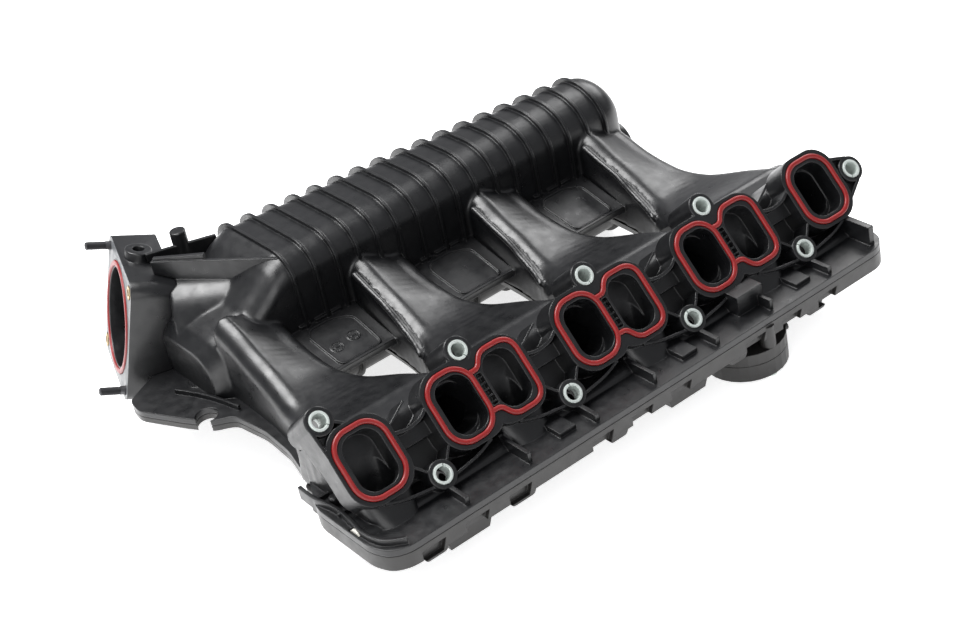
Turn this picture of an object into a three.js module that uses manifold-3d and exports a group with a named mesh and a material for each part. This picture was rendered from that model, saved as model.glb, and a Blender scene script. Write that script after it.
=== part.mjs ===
// Intake manifold for a four-cylinder, sixteen-valve engine.
// Millimetres, +Z up, +X along the cylinder row, +Y from the port flange towards the plenum.
// The origin is the middle of the port row, on the face of the port flange.
import * as THREE from 'three';
import { mergeVertices } from 'three/addons/utils/BufferGeometryUtils.js';
import Module from 'manifold-3d';

const wasm = await Module();
wasm.setup();

// ---------------------------------------------------------------- driving dimensions
const cylinderPitch = 97;
const cylinders = [-1.5, -0.5, 0.5, 1.5].map((k) => k * cylinderPitch);
const boundaries = [-1, 0, 1].map((k) => k * cylinderPitch);
const portOffset = 32.75;            // port centre from cylinder centre
const flangeTilt = 50;               // flange face: rotation about X from a horizontal face
const gap = 0.3;                     // between touching pieces
const wall = 3;                      // moulded wall

const port = { width: 27, height: 35, corner: 10 };
const seal = { inner: 2, band: 3.6, depth: 3.4, proud: 1.4 };
const rim = { margin: 8, corner: 16, depth: 18 };
const boltRow = 28;                  // bolt rows above and below the port row
const sleeve = { outer: 6.1, bore: 4.3, upper: 16, lower: 8, proud: 0.8 };
const bossRadius = 9;

const weldZ = -37.5;                 // plane where the upper and lower mouldings meet
const lip = { front: -41.5, left: -205, right: 199, upper: 4.5, lower: 10 };

const plenum = {
  x0: -138, x1: 148, front: 163, top: 39,
  backLeft: 256, backRight: 216,     // back wall at x0 and x1
  shoulderLeft: 18, shoulderRight: 30, backRadius: 20, floor: -74,
};
const rib = { count: 17, pitch: cylinderPitch / 6, last: 142.5, thickness: 2.2, proud: 3 };
const runnerShift = -7;              // runner mouth at the plenum, from the cylinder centre
const web = { left: -31, right: 16, back: 160, front: 118, thickness: 3 };

const inlet = {
  centre: [-191, 279, -8], normal: [-0.9, 0.31, 0.306],
  bore: 33, half: 43, depth: 30, corner: 10, studSpan: 35.5,
};

const duct = { floor: -54.5 };              // underside of the swirl ducts
const shaft = { y: -7, z: weldZ, radius: 3, x0: -203, x1: 142 };
const canScrewCircle = 22.5;
const flap = { width: 24.6, height: 22, thickness: 2.4 };
const lever = { x: 88, arm: 9.5, rest: -140, pin: 1.8 };
const can = { x: lever.x, y: -15.4, radius: 27, bottom: -74, split: -63, top: -55, wall: 2 };
const diaphragmPlate = { radius: 9.4, thickness: 1.8 };
const spring = { radius: 11.6, wire: 1.6, turns: 3 };

// ---------------------------------------------------------------- shape helpers
const rad = THREE.MathUtils.degToRad;
const lerp = THREE.MathUtils.lerp;

function solid(geometry) {
  const bare = geometry.clone();
  bare.deleteAttribute('normal');
  bare.deleteAttribute('uv');
  const merged = mergeVertices(bare, 1e-4);
  const mesh = new wasm.Mesh({
    numProp: 3,
    vertProperties: new Float32Array(merged.attributes.position.array),
    triVerts: new Uint32Array(merged.index.array),
  });
  return new wasm.Manifold(mesh);
}

function geometryOf(body) {
  const mesh = body.getMesh();
  const geometry = new THREE.BufferGeometry();
  geometry.setAttribute('position', new THREE.BufferAttribute(mesh.vertProperties, 3));
  geometry.setIndex(new THREE.BufferAttribute(mesh.triVerts, 1));
  geometry.computeVertexNormals();
  return geometry;
}

const join = (bodies) => bodies.reduce((sum, body) => sum.add(body));

// Cutting a moulding can leave loose crumbs: the moulding is the largest body.
const largest = (body) => body.decompose().sort((a, b) => b.volume() - a.volume())[0];

function box(x0, x1, y0, y1, z0, z1) {
  const geometry = new THREE.BoxGeometry(x1 - x0, y1 - y0, z1 - z0);
  geometry.translate((x0 + x1) / 2, (y0 + y1) / 2, (z0 + z1) / 2);
  return solid(geometry);
}

// A cylinder along 'x', 'y' or 'z', from a to b on that axis.
function rod(axis, a, b, p, q, radius, sides = 16) {
  const geometry = new THREE.CylinderGeometry(radius, radius, b - a, sides);
  const middle = (a + b) / 2;
  if (axis === 'x') geometry.rotateZ(Math.PI / 2).translate(middle, p, q);
  if (axis === 'y') geometry.translate(p, middle, q);
  if (axis === 'z') geometry.rotateX(Math.PI / 2).translate(p, q, middle);
  return solid(geometry);
}

function roundedOutline(width, height, corner, steps = 3) {
  const points = [];
  const cx = width / 2 - corner;
  const cy = height / 2 - corner;
  for (const [sx, sy, start] of [[1, 1, 0], [-1, 1, 90], [-1, -1, 180], [1, -1, 270]]) {
    for (let i = 0; i <= steps; i += 1) {
      const a = rad(start + (90 * i) / steps);
      points.push([sx * cx + corner * Math.cos(a), sy * cy + corner * Math.sin(a)]);
    }
  }
  return points;
}

// A prism of an outline in the XY plane, from z0 to z1.
function prism(outline, z0, z1) {
  const shape = new THREE.Shape(outline.map(([x, y]) => new THREE.Vector2(x, y)));
  const geometry = new THREE.ExtrudeGeometry(shape, { depth: z1 - z0, bevelEnabled: false });
  return solid(geometry.translate(0, 0, z0));
}

// A closed skin over rings that all have the same number of points.
function loft(rings) {
  const count = rings[0].length;
  const positions = rings.flat(2);
  const index = [];
  for (let r = 0; r + 1 < rings.length; r += 1) {
    for (let i = 0; i < count; i += 1) {
      const a = r * count + i;
      const b = r * count + ((i + 1) % count);
      index.push(a, b, a + count, b, b + count, a + count);
    }
  }
  const last = (rings.length - 1) * count;
  for (let i = 1; i + 1 < count; i += 1) {
    index.push(0, i + 1, i, last, last + i, last + i + 1);
  }
  let volume = 0;
  const point = (i) => new THREE.Vector3(...positions.slice(3 * i, 3 * i + 3));
  for (let i = 0; i < index.length; i += 3) {
    volume += point(index[i]).dot(point(index[i + 1]).cross(point(index[i + 2])));
  }
  if (volume < 0) index.reverse();
  const geometry = new THREE.BufferGeometry();
  geometry.setAttribute('position', new THREE.Float32BufferAttribute(positions, 3));
  geometry.setIndex(index);
  return solid(geometry);
}

const shifted = (outline, x, y) => outline.map(([px, py]) => [px + x, py + y]);

// The flange frame: x along the row, y up the flange face, z out of the face.
const flangeTurn = new THREE.Matrix4().makeRotationX(rad(flangeTilt));
function fromFlange(body) {
  return solid(geometryOf(body).applyMatrix4(flangeTurn));
}
function flangePoint([x, u, w]) {
  return new THREE.Vector3(x, u, w).applyMatrix4(flangeTurn).toArray();
}

// ---------------------------------------------------------------- plenum
// Half profile of the plenum above the weld plane, grown by `grow`, at one x.
function plenumRing(x, grow, bottom, drop = 0, tuck = 0) {
  const t = THREE.MathUtils.clamp((x - plenum.x0) / (plenum.x1 - plenum.x0), 0, 1);
  const front = plenum.front - grow + tuck;
  const back = lerp(plenum.backLeft, plenum.backRight, t) + grow - tuck;
  const top = plenum.top + grow - drop;
  const shoulder = lerp(plenum.shoulderLeft, plenum.shoulderRight, t) + grow;
  const round = plenum.backRadius + grow;
  const ring = [[x, front, bottom]];
  for (let i = 0; i <= 5; i += 1) {
    const a = rad(180 - 18 * i);
    const cos = shoulder * Math.cos(a);
    const sin = shoulder * 0.8 * Math.sin(a);
    ring.push([x, front + shoulder + cos, top - shoulder * 0.8 + sin]);
  }
  for (let i = 0; i <= 6; i += 1) {
    const a = rad(90 - 15 * i);
    ring.push([x, back - round + round * Math.cos(a), top - round + round * Math.sin(a)]);
  }
  ring.push([x, back, bottom]);
  return ring;
}

// The left end steps down to the inlet: x, drop of the top, tuck of the front and back walls.
const leftShoulder = [[-184, 44, 12], [-176, 35, 4], [-150, 28, 1]];
// The right end closes in a dome: x past the end, shrink of the outline.
const rightDome = [[0, 0], [8, -3], [13, -8], [16, -14]];

function plenumUpper(grow, bottom) {
  const inset = Math.min(grow, 0);
  const rings = leftShoulder.map(([x, drop, tuck]) => plenumRing(x - inset, grow, bottom, drop, tuck));
  rings.push(plenumRing(plenum.x0 - inset, grow, bottom), plenumRing(plenum.x1 + inset, grow, bottom));
  const body = loft(rings);
  if (grow < 0) return body;
  return body.add(loft(rightDome.map(([dx, g]) => plenumRing(plenum.x1 + dx, g, bottom))));
}

function plenumRibs() {
  const ribs = [];
  for (let j = 0; j < rib.count; j += 1) {
    const x = rib.last - j * rib.pitch;
    const ends = [x - rib.thickness / 2, x + rib.thickness / 2];
    ribs.push(loft(ends.map((e) => plenumRing(e, rib.proud, -2))));
  }
  return join(ribs);
}

// ---------------------------------------------------------------- runners
// Stations from the plenum to the flange: y, centre shift, half width, top height.
const runnerStations = [
  { y: 170, shift: runnerShift, half: 23, top: 12 },
  { y: 140, shift: runnerShift, half: 23.5, top: 3 },
  { y: 112, shift: -6, half: 26, top: -5 },
  { y: 88, shift: -3, half: 33, top: -9 },
  { y: 66, shift: -1, half: 43, top: -6 },
  { y: 44, shift: 0, half: 48.2, top: 0 },
];

function runnerRing(cx, station, inset, bottom) {
  const half = station.half - inset;
  const top = station.top - inset;
  const corner = 13 - inset;
  const x = cx + station.shift;
  const ring = [[x - half, station.y, bottom]];
  for (let i = 0; i <= 4; i += 1) {
    const a = rad(180 - 22.5 * i);
    ring.push([x - half + corner + corner * Math.cos(a), station.y, top - corner + corner * Math.sin(a)]);
  }
  for (let i = 0; i <= 4; i += 1) {
    const a = rad(90 - 22.5 * i);
    ring.push([x + half - corner + corner * Math.cos(a), station.y, top - corner + corner * Math.sin(a)]);
  }
  ring.push([x + half, station.y, bottom]);
  return ring;
}

const runner = (cx, inset, bottom) => loft(runnerStations.map((s) => runnerRing(cx, s, inset, bottom)));

// ---------------------------------------------------------------- port flange and ducts
const oddPorts = cylinders.map((x) => x - portOffset);
const evenPorts = cylinders.map((x) => x + portOffset);
const upperBolts = [oddPorts[0] - 14, ...boundaries, evenPorts[3] + 31];
const upperBoltRise = [boltRow + 5, boltRow, boltRow, boltRow, 0];

function portRing(x, u, width, height, corner, w) {
  return shifted(roundedOutline(width, height, corner), x, u).map(([px, py]) => flangePoint([px, py, w]));
}

// Duct from an odd port down to the weld plane.
function oddDuct(x, grow, out, bottom) {
  const foot = roundedOutline(port.width + 2 * grow, 29 + 2 * grow, port.corner - 2 + grow);
  return loft([
    portRing(x, 0, port.width + 2 * grow, port.height + 2 * grow, port.corner + grow, out),
    shifted(foot, x, shaft.y).map(([px, py]) => [px, py, bottom]),
  ]);
}

// Duct from an even port straight back into the runner.
function evenDuct(x, grow, out) {
  const back = roundedOutline(port.width + 2 * grow, 22 + 2 * grow, 7 + grow);
  return loft([
    portRing(x, 0, port.width + 2 * grow, port.height + 2 * grow, port.corner + grow, out),
    shifted(back, x - 2, -22).map(([px, pz]) => [px, 34, pz]),
  ]);
}

// Closed wall behind the flange: x0 to x1, profile in the YZ plane.
function gallery() {
  const profile = [[24, 0.7], [44, -1], [60, -8], [60, weldZ], [-9, weldZ], [-3, -31.5]];
  const body = loft([lip.left + 9, lip.right - 2].map((x) => profile.map(([y, z]) => [x, y, z])));
  return body;
}

function flangePads() {
  const pads = [];
  for (const x of [...oddPorts, ...evenPorts]) {
    const outline = roundedOutline(port.width + 2 * rim.margin, port.height + 2 * rim.margin, rim.corner);
    pads.push(prism(shifted(outline, x, 0), -rim.depth, 0));
  }
  upperBolts.forEach((x, i) => {
    pads.push(rod('z', i === 0 ? -34 : -30, 0, x, upperBoltRise[i], bossRadius));
  });
  cylinders.forEach((x) => pads.push(rod('z', -13, 0, x, -boltRow, bossRadius)));
  for (const x of cylinders) {
    for (const side of [-1, 1]) {
      const a = [x, -boltRow];
      const b = [x + side * (portOffset - 8), -14];
      pads.push(strip(a, b, 2.2, -20, -1.5));
      pads.push(strip([x, -boltRow], [x + side * (portOffset - 4), -26], 2.2, -20, -3));
    }
    pads.push(scallop(x));
  }
  pads.push(strip([evenPorts[3] + 10, 0], [upperBolts[4], 0], 12, -14, 0));
  pads.push(strip([upperBolts[0], upperBoltRise[0]], [oddPorts[0] - 10, 10], 12, -14, 0));
  for (const x of boundaries) pads.push(strip([x, boltRow], [x, 16], 14, -16, 0));
  return fromFlange(join(pads));
}

// A straight wall between two points of the flange face, w0 to w1 deep.
function strip([xa, ya], [xb, yb], thickness, w0, w1) {
  const length = Math.hypot(xb - xa, yb - ya);
  const geometry = new THREE.BoxGeometry(length, thickness, w1 - w0);
  geometry.rotateZ(Math.atan2(yb - ya, xb - xa));
  geometry.translate((xa + xb) / 2, (ya + yb) / 2, (w0 + w1) / 2);
  return solid(geometry);
}

// The curved web that dips between the two ports of one cylinder.
function scallop(x) {
  const outer = 17;
  const ring = rod('z', -24, -0.6, x, 21, outer).subtract(rod('z', -30, 2, x, 21, outer - 2.4));
  return ring.intersect(box(x - 20, x + 20, -6, 21, -30, 2));
}

function sealOutline(grow) {
  const width = port.width + 2 * (seal.inner + grow);
  const height = port.height + 2 * (seal.inner + grow);
  return roundedOutline(width, height, port.corner + seal.inner + grow, 2);
}

// Seal loops lie round each port; neighbours share the wall between them.
const sealGroups = [[oddPorts[0]], ...[0, 1, 2].map((k) => [evenPorts[k], oddPorts[k + 1]]), [evenPorts[3]]];

function sealSolid(group, slack, w0, w1) {
  const loops = group.map((x) => {
    const outer = prism(shifted(sealOutline(seal.band + slack), x, 0), w0, w1);
    return outer.subtract(prism(shifted(sealOutline(-slack), x, 0), w0 - 1, w1 + 1));
  });
  const body = join(loops);
  if (group.length < 2) return body;
  const middle = (group[0] + group[1]) / 2;
  const first = prism(shifted(sealOutline(-slack), group[0], 0), w0 - 1, w1 + 1);
  const second = prism(shifted(sealOutline(-slack), group[1], 0), w0 - 1, w1 + 1);
  const clear = box(middle + seal.band * 0.55, middle + 14, -17, 17, w0 - 1, w1 + 1);
  return body.subtract(first).subtract(second).subtract(clear.intersect(second));
}

// ---------------------------------------------------------------- weld lip, plates and inlet
const lipOutline = [
  [-188, lip.front], [186, lip.front], [196, -34], [lip.right, -20], [lip.right, 30], [194, 60],
  [-190, 60], [-198, 44], [lip.left, 30], [lip.left, -24], [-200, -36],
];

const sidePlate = [
  [-150, 60], [-150, 200], [-165, 232], [-196, 236], [-222, 222], [-224, 207], [-208, 174],
  [-199, 158], [-186, 150], [-182, 120], [-184, 90], [-192, 58],
];

// Inlet frame: x along the flange, y up its face, z out of the opening.
const inletFrame = (() => {
  const n = new THREE.Vector3(...inlet.normal).normalize();
  const h = new THREE.Vector3(0, 0, 1).cross(n).normalize();
  const g = n.clone().cross(h);
  return new THREE.Matrix4().makeBasis(h, g, n).setPosition(...inlet.centre);
})();
const fromInlet = (body) => solid(geometryOf(body).applyMatrix4(inletFrame));

function inletRing(radius, w, sides = 28) {
  const ring = [];
  for (let i = 0; i < sides; i += 1) {
    const a = (2 * Math.PI * i) / sides;
    ring.push(new THREE.Vector3(radius * Math.cos(a), radius * Math.sin(a), w).applyMatrix4(inletFrame).toArray());
  }
  return ring;
}

// Rings of the elbow, from the inlet into the left end of the plenum.
function elbow(grow, start) {
  const stations = [
    { c: [-163, 241, -9], half: [31, 30], turn: 33 },
    { c: [-135, 212, -8], half: [34, 30], turn: 12 },
  ];
  const rings = [inletRing(inlet.bore + grow, start), inletRing(inlet.bore + grow, -inlet.depth)];
  for (const { c, half, turn } of stations) {
    const ring = [];
    for (let i = 0; i < 28; i += 1) {
      const a = (2 * Math.PI * i) / 28;
      const h = (half[0] + grow) * Math.cos(a);
      const t = rad(turn);
      ring.push([c[0] - h * Math.sin(t), c[1] - h * Math.cos(t), c[2] + (half[1] + grow) * Math.sin(a)]);
    }
    rings.push(ring);
  }
  return loft(rings);
}

const studPlaces = [[-1, 1], [1, -1]].map(([a, b]) => [a * inlet.studSpan, b * inlet.studSpan]);
const insertPlaces = [[1, 1], [-1, -1]].map(([a, b]) => [a * inlet.studSpan, b * inlet.studSpan]);

function inletBlock(grow) {
  const side = 2 * (inlet.half + grow);
  const body = prism(roundedOutline(side, side, inlet.corner), -inlet.depth - grow, grow);
  return fromInlet(body.add(rod('y', inlet.half - 2, inlet.half + 7, 0, -12, 9 + grow)));
}

const inletFlange = () => inletBlock(0).subtract(inletCuts());

const inletSealRing = { inner: 33.8, outer: 37.6, depth: 3, proud: 1.2 };

function inletCuts() {
  const cuts = [
    rod('z', -inlet.depth - 2, 2, 0, 0, inlet.bore, 28),
    rod('z', -inletSealRing.depth - gap, 2, 0, 0, inletSealRing.outer + gap, 36),
  ];
  for (const [a, b] of studPlaces) cuts.push(rod('z', -16, 2, a, b, 3 + gap, 16));
  for (const [a, b] of insertPlaces) cuts.push(rod('z', -12, 2, a, b, 4.5 + gap, 16));
  cuts.push(rod('y', inlet.half - 6, inlet.half + 9, 0, -12, 4, 16));
  return fromInlet(join(cuts));
}

// ---------------------------------------------------------------- the two mouldings
const half = gap / 2;
const above = box(-260, 260, -80, 360, weldZ + half, 120);
const below = box(-260, 260, -80, 360, -140, weldZ - half);

function runnerInside() {
  const parts = [];
  for (const cx of cylinders) {
    parts.push(runner(cx, wall, weldZ - 1));
    parts.push(box(cx - 45, cx + 45, 18, 50, weldZ - 1, -14));
  }
  return join(parts);
}

function ductsInside() {
  const parts = [];
  for (const x of oddPorts) parts.push(oddDuct(x, 0, 1, weldZ - 1));
  for (const x of evenPorts) parts.push(evenDuct(x, 0, 1));
  return join(parts);
}

function fastenerHoles() {
  const cuts = [];
  upperBolts.forEach((x, i) => cuts.push(rod('z', -50, 2, x, upperBoltRise[i], sleeve.outer + gap, 14)));
  cylinders.forEach((x) => cuts.push(rod('z', -sleeve.lower - 1, 2, x, -boltRow, sleeve.outer + gap, 14)));
  for (const group of sealGroups) cuts.push(sealSolid(group, gap, -seal.depth + seal.proud - gap, 2));
  return fromFlange(join(cuts));
}

// Seats for the flap shaft and its bushes, half in each moulding.
const bushPlaces = [shaft.x0 + 4, oddPorts[1] - 24, oddPorts[2] - 24, lever.x - 18, shaft.x1 - 6];
const bush = { outer: 6, length: 8 };

function shaftSeats() {
  const seats = [rod('x', shaft.x0 - 2, shaft.x1 + 2, shaft.y, shaft.z, shaft.radius + 0.7, 14)];
  for (const x of bushPlaces) {
    const reach = bush.length / 2 + gap;
    seats.push(rod('x', x - reach, x + reach, shaft.y, shaft.z, bush.outer + gap, 14));
  }
  return join(seats);
}

// Open well where the lever swings and the actuator rod comes up.
const leverWell = () => box(lever.x - 6.5, lever.x + 6.5, can.y - 7.5, shaft.y + 7, -60, -22);

function webPlates() {
  const plates = boundaries.map((x) => loft([x + web.left, x + web.right].map((e) => [
    [e, web.back + 6, -9], [e, web.front, -22], [e, web.front, -22 - web.thickness],
    [e, web.back + 6, -9 - web.thickness],
  ])));
  return join(plates);
}

// The welded body above the weld plane, before it is parted into its two mouldings.
function upperBody() {
  const outer = join([
    plenumUpper(0, weldZ), plenumRibs(), gallery(), flangePads(), webPlates(),
    ...cylinders.map((cx) => runner(cx, 0, weldZ)),
    ...oddPorts.map((x) => oddDuct(x, wall + 1, -1, weldZ)),
    prism(lipOutline, weldZ, weldZ + lip.upper),
    prism(sidePlate, weldZ, weldZ + 4),
    elbow(wall, -inlet.depth),
    rod('x', plenum.x1, 188, 190, -20, 17.3, 28),
  ]);
  const inner = join([
    plenumUpper(-wall, weldZ - 1), runnerInside(), ductsInside(), elbow(0, 1), inletBlock(gap),
  ]);
  const cuts = join([inner, fastenerHoles(), shaftSeats(), leverWell(), clipNotch()]);
  return outer.subtract(cuts).intersect(above);
}

// The port flange moulding meets the runner moulding in a joint across the runners.
const frontJointY = 60;
const inFront = box(-260, 260, -80, frontJointY - half, -90, 120);
const behind = box(-260, 260, frontJointY + half, 360, -90, 120);

// The open clip at the edge of the side plate.
const clipNotch = () => rod('z', -60, -20, -197, 166, 7, 20);

function lowerShell() {
  const parts = [
    prism(lipOutline, weldZ - lip.lower, weldZ),
    prism(sidePlate, weldZ - 4, weldZ),
    plenumLowerLeft(0),
    loft([[-138, 0], [148, 0], [160, 10]].map(([x, inset]) => plenumLowerRing(x, 0, inset))),
  ];
  const cuts = [
    loft([-135, 145].map((x) => plenumLowerRing(x, wall, 0))), plenumLowerLeft(wall), inletBlock(gap),
    shaftSeats(), leverWell(), clipNotch(),
  ];
  for (const cx of cylinders) {
    const mouth = { y: 172, x: cx + runnerShift };
    parts.push(runnerFloor(cx, 0));
    cuts.push(runnerFloor(cx, wall));
    cuts.push(box(mouth.x - 20, mouth.x + 20, 155, 175, -46, weldZ + 1));
    cuts.push(box(cx - 45, cx + 45, 18, 66, weldZ - 4, weldZ + 1));
  }
  for (const x of oddPorts) {
    parts.push(box(x - 17, x + 17, shaft.y - 18, 60, duct.floor, weldZ));
    cuts.push(box(x - port.width / 2, x + port.width / 2, shaft.y - 14.5, 56, duct.floor + wall, weldZ + 1));
  }
  for (const x of [-165, 5]) parts.push(bracket(x));
  for (const [a, b] of canScrewPlaces) {
    parts.push(rod('z', can.top + gap, weldZ - 4, a, b, 5, 16));
    cuts.push(rod('z', can.top - 1, can.top + 8, a, b, 1.6 + gap, 8));
  }
  return join(parts).subtract(join(cuts)).intersect(below);
}

// The trough narrows and rises towards the inlet.
const plenumLowerLeft = (inset) => loft([
  plenumLowerRing(-184 + inset, inset, 12, 24), plenumLowerRing(-160, inset, 4, 8),
  plenumLowerRing(-130, inset, 0, 0),
]);

function plenumLowerRing(x, inset, tuck, rise = tuck) {
  const t = THREE.MathUtils.clamp((x - plenum.x0) / (plenum.x1 - plenum.x0), 0, 1);
  const back = lerp(plenum.backLeft, plenum.backRight, t) - inset - tuck;
  const front = plenum.front + inset + tuck;
  const floor = plenum.floor + inset + rise;
  const top = weldZ + (inset > 0 ? 1 : 0);
  return [[x, front, top], [x, front, floor + 16], [x, front + 16, floor],
    [x, back - 20, floor], [x, back, floor + 20], [x, back, top]];
}

function runnerFloor(cx, inset) {
  const rings = runnerStations.map((s) => {
    const w = s.half - inset;
    const x = cx + s.shift;
    const floor = weldZ - 12 + inset;
    const top = weldZ + (inset > 0 ? 1 : 0);
    return [[x - w, s.y, top], [x - w + 8, s.y, floor], [x + w - 8, s.y, floor], [x + w, s.y, top]];
  });
  return loft(rings);
}

// A box-shaped foot under the front lip.
function bracket(x) {
  const width = 38;
  const shell = box(x, x + width, -36, -6, -60, weldZ - 4);
  return shell.subtract(box(x + 2.5, x + width - 2.5, -33.5, -8.5, -70, weldZ - lip.lower - 2));
}

// ---------------------------------------------------------------- small pieces
function sleevePiece(x, u, length) {
  const tube = rod('z', -length, sleeve.proud, x, u, sleeve.outer, 14)
    .subtract(rod('z', -length - 1, sleeve.proud + 1, x, u, sleeve.bore, 14));
  return fromFlange(tube);
}

function shaftPiece() {
  const round = rod('x', shaft.x0, shaft.x1, shaft.y, shaft.z, shaft.radius, 14);
  const flats = oddPorts.map((x) => box(x - 13, x + 13, shaft.y - 5, shaft.y - 0.9, shaft.z - 5, shaft.z + 5));
  return round.subtract(join(flats));
}

const flapScrewShift = 7.5;

function flapPiece(x) {
  const outline = roundedOutline(flap.width, flap.height, 5, 2);
  const plate = solid(geometryOf(prism(outline, 0, flap.thickness)).rotateX(Math.PI / 2)
    .translate(x, shaft.y - 0.9 - gap, shaft.z));
  const holes = [-1, 1].map((s) => rod('y', shaft.y - 6, shaft.y, x + s * flapScrewShift, shaft.z, 1.6 + gap, 8));
  return plate.subtract(join(holes));
}

function flapScrew(x) {
  const face = shaft.y - 0.9 - gap - flap.thickness;
  return rod('y', face - gap - 1.4, face - gap, x, shaft.z, 2.8, 10)
    .add(rod('y', face - gap - 0.1, shaft.y - 0.9 - gap - 0.1, x, shaft.z, 1.6, 8));
}

function bushPiece(x) {
  const reach = bush.length / 2;
  return rod('x', x - reach, x + reach, shaft.y, shaft.z, bush.outer, 14)
    .subtract(rod('x', x - reach - 1, x + reach + 1, shaft.y, shaft.z, shaft.radius + 0.4, 14));
}

function leverPiece() {
  const turn = rad(lever.rest);
  const tip = [shaft.y + lever.arm * Math.cos(turn), shaft.z + lever.arm * Math.sin(turn)];
  const hub = rod('x', lever.x - 3, lever.x, shaft.y, shaft.z, 5.4, 20);
  const arm = new THREE.BoxGeometry(2.6, lever.arm, 5);
  arm.translate(0, lever.arm / 2, 0).rotateX(turn).translate(lever.x - 1.7, shaft.y, shaft.z);
  const pin = rod('x', lever.x - 3, lever.x + 2.6, tip[0], tip[1], lever.pin, 16);
  const eye = rod('x', lever.x - 3, lever.x - 0.4, tip[0], tip[1], 3.2, 16);
  const bore = rod('x', lever.x - 4, lever.x + 4, shaft.y, shaft.z, shaft.radius + gap, 20);
  return { body: join([hub, solid(arm), eye, pin]).subtract(bore), tip };
}

const leverMade = leverPiece();

// The actuator rod ends in a slotted eye on the lever pin.
function actuatorRod() {
  const [, z] = leverMade.tip;
  const x = lever.x + 1.3;
  const stem = rod('z', can.bottom + can.wall + 1, z - 3.6, can.x, can.y, 1.9, 12);
  const reach = 3.1;
  const eye = box(x - 1, x + 1, can.y - reach - 1.5, can.y + reach + 1.5, z - 4, z + 4);
  const slot = box(x - 2, x + 2, can.y - reach, can.y + reach, z - lever.pin - 0.2, z + lever.pin + 0.2);
  const floor = can.bottom + can.wall + 0.5;
  const plate = rod('z', floor, floor + diaphragmPlate.thickness, can.x, can.y, diaphragmPlate.radius, 20);
  return join([stem, eye.subtract(slot), plate]);
}

const canScrewPlaces = [90, 160, 270].map((deg) => [
  can.x + canScrewCircle * Math.cos(rad(deg)), can.y + canScrewCircle * Math.sin(rad(deg)),
]);

function canLower() {
  let body = rod('z', can.bottom, can.split - half, can.x, can.y, can.radius, 28)
    .subtract(rod('z', can.bottom + can.wall, can.split + 2, can.x, can.y, 18.5, 20));
  const spout = can.bottom + 5;
  body = body.add(rod('x', can.x + 20, can.x + can.radius + 9, can.y, spout, 3, 12));
  body = body.subtract(rod('x', can.x + 15, can.x + can.radius + 12, can.y, spout, 1.6, 8));
  return body.subtract(join(canScrewPlaces.map(([a, b]) => rod('z', -90, -50, a, b, 1.6 + gap, 8))));
}

function canUpper() {
  const body = rod('z', can.split + half, can.top, can.x, can.y, can.radius, 28)
    .subtract(rod('z', can.split - 2, can.top - can.wall, can.x, can.y, 18.5, 20))
    .subtract(rod('z', can.top - 5, can.top + 5, can.x, can.y, 2.4, 12));
  return body.subtract(join(canScrewPlaces.map(([a, b]) => rod('z', -90, -50, a, b, 1.6 + gap, 8))));
}

function canScrew([a, b]) {
  return rod('z', can.bottom - gap - 2.2, can.bottom - gap, a, b, 3.2, 12)
    .add(rod('z', can.bottom - gap - 0.5, can.top + 7.5, a, b, 1.6, 12));
}

// Return spring round the diaphragm plate, up to the roof of the can.
class Helix extends THREE.Curve {
  getPoint(t, target = new THREE.Vector3()) {
    const a = 2 * Math.PI * spring.turns * t;
    const z = lerp(can.bottom + can.wall + 3.6, can.top - can.wall - 1.2, t);
    return target.set(can.x + spring.radius * Math.cos(a), can.y + spring.radius * Math.sin(a), z);
  }
}

function springPiece() {
  const outline = roundedOutline(spring.wire, spring.wire, spring.wire / 2, 1);
  const section = new THREE.Shape(outline.map(([x, y]) => new THREE.Vector2(x, y)));
  return solid(new THREE.ExtrudeGeometry(section, { steps: 28, bevelEnabled: false, extrudePath: new Helix() }));
}

function inletSeal() {
  const ring = rod('z', -inletSealRing.depth, inletSealRing.proud, 0, 0, inletSealRing.outer, 36)
    .subtract(rod('z', -9, 9, 0, 0, inletSealRing.inner, 36));
  return fromInlet(ring);
}

const studPiece = ([a, b]) => fromInlet(rod('z', -15, 17, a, b, 3, 16));
const insertPiece = ([a, b]) => fromInlet(
  rod('z', -11, 0.4, a, b, 4.5, 16).subtract(rod('z', -12, 2, a, b, 2.6, 12)),
);

// ---------------------------------------------------------------- materials and assembly
const finish = (color, roughness, metalness = 0) => new THREE.MeshStandardMaterial({ color, roughness, metalness });
const nylon = () => finish(0x1c1d1f, 0.45);
const silicone = () => finish(0xb3241c, 0.5);
const zinc = () => finish(0xc2c8c8, 0.3, 1);
const steel = () => finish(0x8e9194, 0.35, 1);
const brass = () => finish(0xb08d4a, 0.35, 1);
const acetal = () => finish(0xd9d6cc, 0.5);

const group = new THREE.Group();
function place(name, body, material) {
  const mesh = new THREE.Mesh(geometryOf(body), material);
  mesh.name = name;
  group.add(mesh);
}

const upper = upperBody();
place('upper_shell', largest(upper.intersect(behind)), nylon());
place('port_flange', largest(upper.intersect(inFront)), nylon());
place('inlet_flange', inletFlange(), nylon());
place('lower_shell', lowerShell(), nylon());
place('inlet_seal', inletSeal(), silicone());
studPlaces.forEach((p, i) => place(`inlet_stud_${i + 1}`, studPiece(p), steel()));
insertPlaces.forEach((p, i) => place(`inlet_insert_${i + 1}`, insertPiece(p), brass()));
sealGroups.forEach((ports, i) => {
  const body = sealSolid(ports, 0, -seal.depth + seal.proud, seal.proud);
  place(`port_seal_${i + 1}`, fromFlange(body), silicone());
});
upperBolts.forEach((x, i) => place(`upper_sleeve_${i + 1}`, sleevePiece(x, upperBoltRise[i], sleeve.upper), zinc()));
cylinders.forEach((x, i) => place(`lower_sleeve_${i + 1}`, sleevePiece(x, -boltRow, sleeve.lower), zinc()));
place('flap_shaft', shaftPiece(), steel());
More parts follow.
